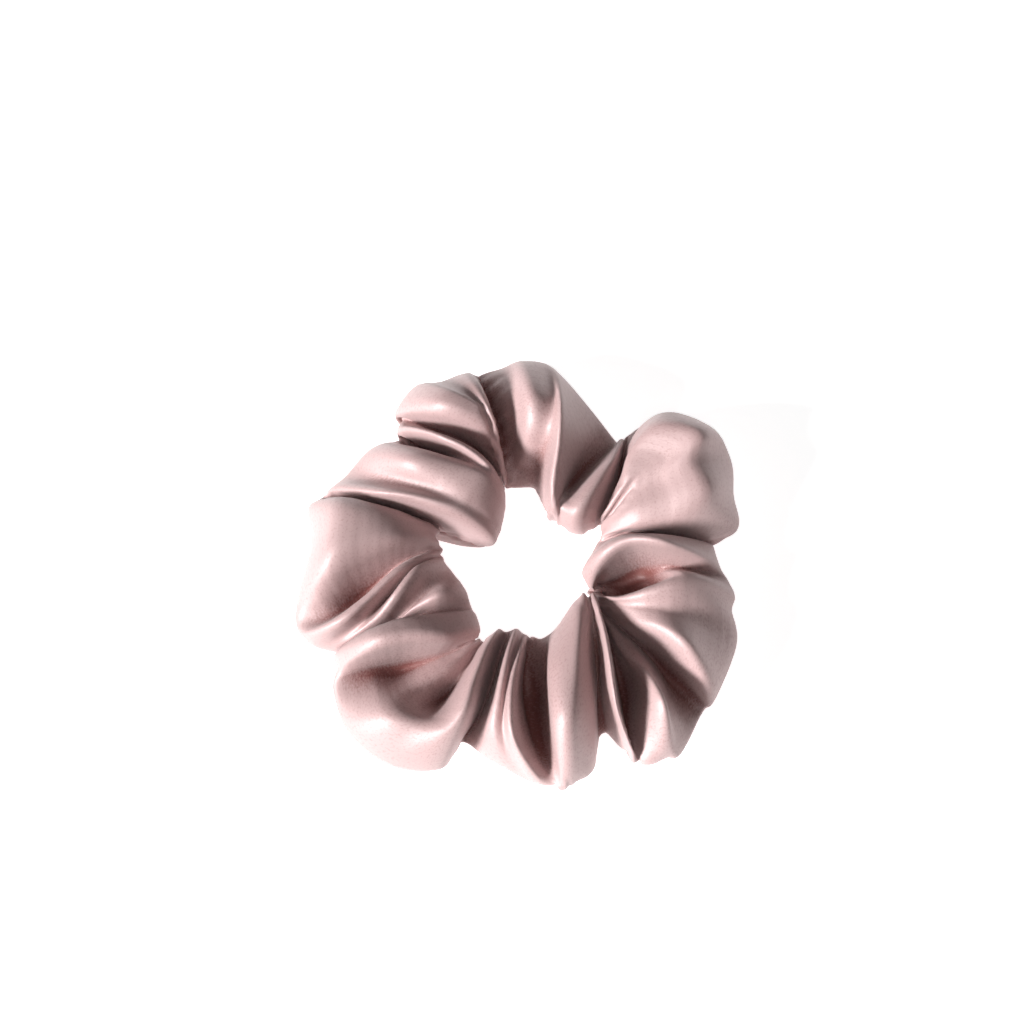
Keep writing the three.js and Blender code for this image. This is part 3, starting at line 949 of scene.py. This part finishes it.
def yarn_material(
    name, colour, deep_and_shade_colour, roughness, ribs_per_metre, speckle_per_metre, bump, uv_name=None
):
    """A material with the yarn group and the dye and painted shade group in it, its shader, and the node of
    the second; bump is in metres.
    """
    material = bpy.data.materials.new(name)
    material.use_nodes = True
    nodes, links = material.node_tree.nodes, material.node_tree.links
    shader = nodes["Principled BSDF"]
    if uv_name:
        place = nodes.new("ShaderNodeUVMap")
        place.uv_map = uv_name
        coordinates = place.outputs["UV"]
    else:
        coordinates = nodes.new("ShaderNodeTexCoord").outputs["Object"]
    threads = nodes.new("ShaderNodeGroup")
    threads.node_tree = yarn
    threads.inputs["Ribs per Metre"].default_value = ribs_per_metre
    threads.inputs["Speckle per Metre"].default_value = speckle_per_metre
    links.new(coordinates, threads.inputs["Coordinates"])
    # The deep and shade colour is where the dye deepens at random and, in the satin, where shade is painted
    # into the hollows.
    tint = nodes.new("ShaderNodeGroup")
    tint.node_tree = dye_and_shade
    tint.inputs["Colour"].default_value = colour
    tint.inputs["Deep Colour"].default_value = deep_and_shade_colour
    links.new(threads.outputs["Speckle"], tint.inputs["Speckle"])
    links.new(tint.outputs["Colour"], shader.inputs["Base Color"])
    uneven_shine = maths(material.node_tree, "MULTIPLY", threads.outputs["Speckle"], SHINE_SPREAD)
    shine = maths(material.node_tree, "ADD", uneven_shine, roughness - SHINE_SPREAD / 2)
    links.new(shine, shader.inputs["Roughness"])
    relief = nodes.new("ShaderNodeBump")
    relief.inputs["Strength"].default_value = 1.0
    relief.inputs["Distance"].default_value = bump
    links.new(threads.outputs["Height"], relief.inputs["Height"])
    links.new(relief.outputs["Normal"], shader.inputs["Normal"])
    return material, shader, tint


# %% Satin
HOLLOW_SHADE_START = 0.51  # where the painted shade begins to darken the satin, 0.5 being level
HOLLOW_SHADE_GAIN = 3.6

satin, satin_shader, satin_tint = yarn_material(
    "dusty rose satin",
    colour=(0.45, 0.305, 0.3, 1),
    # Painted shade: the dark reddish brown that the satin is painted in its hollows; the speckle also deepens
    # towards it at random.
    deep_and_shade_colour=(0.16, 0.045, 0.038, 1),
    roughness=0.57,
    ribs_per_metre=2200,
    speckle_per_metre=1800,
    bump=0.00006,
    uv_name="weave",
)
satin_tint.inputs["Speckle Amount"].default_value = 1.3
satin_shader.inputs["Metallic"].default_value = 0.1
satin_shader.inputs["Anisotropic"].default_value = 0.35
satin_shader.inputs["Specular IOR Level"].default_value = 0.9
satin_shader.inputs["Sheen Weight"].default_value = 0.1
# Painted shade: the satin's colour darkens towards its deep colour where the cloth lies in a hollow.
shade_mask_read = satin.node_tree.nodes.new("ShaderNodeAttribute")
shade_mask_read.attribute_name = "hollow"
hollow_shade = maths(satin.node_tree, "SUBTRACT", shade_mask_read.outputs["Fac"], HOLLOW_SHADE_START)
hollow_shade = maths(satin.node_tree, "MULTIPLY", hollow_shade, HOLLOW_SHADE_GAIN, clamp=True)
satin.node_tree.links.new(hollow_shade, satin_tint.inputs["Hollow"])
lie = satin.node_tree.nodes.new("ShaderNodeTangent")
lie.direction_type = "UV_MAP"
lie.uv_map = "weave"
satin.node_tree.links.new(lie.outputs["Tangent"], satin_shader.inputs["Tangent"])
casing.data.materials.append(satin)
print("satin on", casing.name)

# %% Elastic and thread
elastic, elastic_shader, _ = yarn_material(
    "braided elastic",
    colour=(0.82, 0.78, 0.72, 1),
    deep_and_shade_colour=(0.55, 0.5, 0.44, 1),
    roughness=0.7,
    ribs_per_metre=2500,
    speckle_per_metre=2000,
    bump=0.00005,
)
elastic_shader.inputs["Sheen Weight"].default_value = 0.2
band.data.materials.append(elastic)

rose_thread, rose_shader, _ = yarn_material(
    "rose sewing thread",
    colour=(0.42, 0.2, 0.19, 1),
    deep_and_shade_colour=(0.25, 0.1, 0.1, 1),
    roughness=0.5,
    ribs_per_metre=6000,
    speckle_per_metre=3000,
    bump=0.00004,
)
rose_shader.inputs["Specular IOR Level"].default_value = 0.6
long_thread.data.materials.append(rose_thread)
closing_thread.data.materials.append(rose_thread)

white_thread, white_shader, _ = yarn_material(
    "white sewing thread",
    colour=(0.86, 0.84, 0.8, 1),
    deep_and_shade_colour=(0.6, 0.57, 0.52, 1),
    roughness=0.55,
    ribs_per_metre=6000,
    speckle_per_metre=3000,
    bump=0.00004,
)
white_shader.inputs["Specular IOR Level"].default_value = 0.6
join_thread.data.materials.append(white_thread)
print("materials:", [material.name for material in bpy.data.materials])
